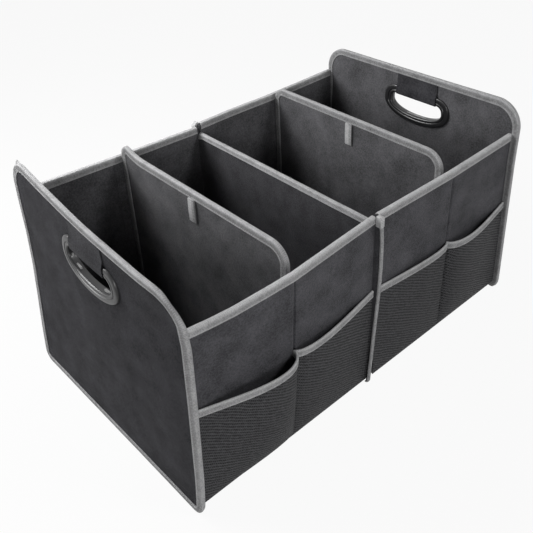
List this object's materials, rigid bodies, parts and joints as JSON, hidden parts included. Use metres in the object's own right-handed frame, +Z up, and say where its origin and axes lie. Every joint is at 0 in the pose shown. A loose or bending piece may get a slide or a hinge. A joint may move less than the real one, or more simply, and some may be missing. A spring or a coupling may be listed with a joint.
{
  "type": "car trunk organizer",
  "caption": "Folding trunk organizer: open cloth box on stiff boards, grip ends, middle partition, loose dividers and mesh pockets.",
  "frame": {"origin": "on the ground, under the middle of the bounding box", "axes": "+X along the box from the left end to the right end, +Y from the pocket side to the plain rear, +Z up"},
  "size_m": [0.6, 0.3924, 0.32],
  "materials": {
    "cloth": "matte black woven polyester cloth",
    "mesh": "black ribbed mesh cloth",
    "tape": "grey ribbed binding tape",
    "grip": "glossy black moulded plastic",
    "board": "grey plastic stiffening board"
  },
  "bodies": {
    "root": {"left_end_outer_cloth": "cloth", "left_end_lining": "cloth", "left_end_board": "board", "left_end_edge_binding": "tape", "left_end_outer_grip": "grip", "left_end_inner_grip": "grip", "left_end_grip_strap": "cloth", "right_end_outer_cloth": "cloth", "right_end_lining": "cloth", "right_end_board": "board", "right_end_edge_binding": "tape", "right_end_outer_grip": "grip", "right_end_inner_grip": "grip", "right_end_grip_strap": "cloth", "left_floor_cloth": "cloth", "left_base_sleeve": "cloth", "left_base_board": "board", "right_floor_cloth": "cloth", "right_base_sleeve": "cloth", "right_base_board": "board", "front_left_wall_outer_cloth": "cloth", "front_left_wall_lining": "cloth", "front_left_wall_inner_board": "board", "front_left_wall_outer_board": "board", "front_left_wall_rim_binding": "tape", "front_right_wall_outer_cloth": "cloth", "front_right_wall_lining": "cloth", "front_right_wall_inner_board": "board", "front_right_wall_outer_board": "board", "front_right_wall_rim_binding": "tape", "rear_left_wall_outer_cloth": "cloth", "rear_left_wall_lining": "cloth", "rear_left_wall_inner_board": "board", "rear_left_wall_outer_board": "board", "rear_left_wall_rim_binding": "tape", "rear_right_wall_outer_cloth": "cloth", "rear_right_wall_lining": "cloth", "rear_right_wall_inner_board": "board", "rear_right_wall_outer_board": "board", "rear_right_wall_rim_binding": "tape", "front_left_pocket_mesh": "mesh", "front_left_pocket_binding": "tape", "front_right_pocket_mesh": "mesh", "front_right_pocket_binding": "tape", "partition_left_cloth": "cloth", "partition_right_cloth": "cloth", "partition_board": "board", "partition_edge_binding": "tape", "partition_top_binding": "tape", "left_divider_left_cloth": "cloth", "left_divider_right_cloth": "cloth", "left_divider_board": "board", "left_divider_binding": "tape", "left_divider_pull_tab": "tape", "right_divider_left_cloth": "cloth", "right_divider_right_cloth": "cloth", "right_divider_board": "board", "right_divider_binding": "tape", "right_divider_pull_tab": "tape"}
  },
  "joints": []
}
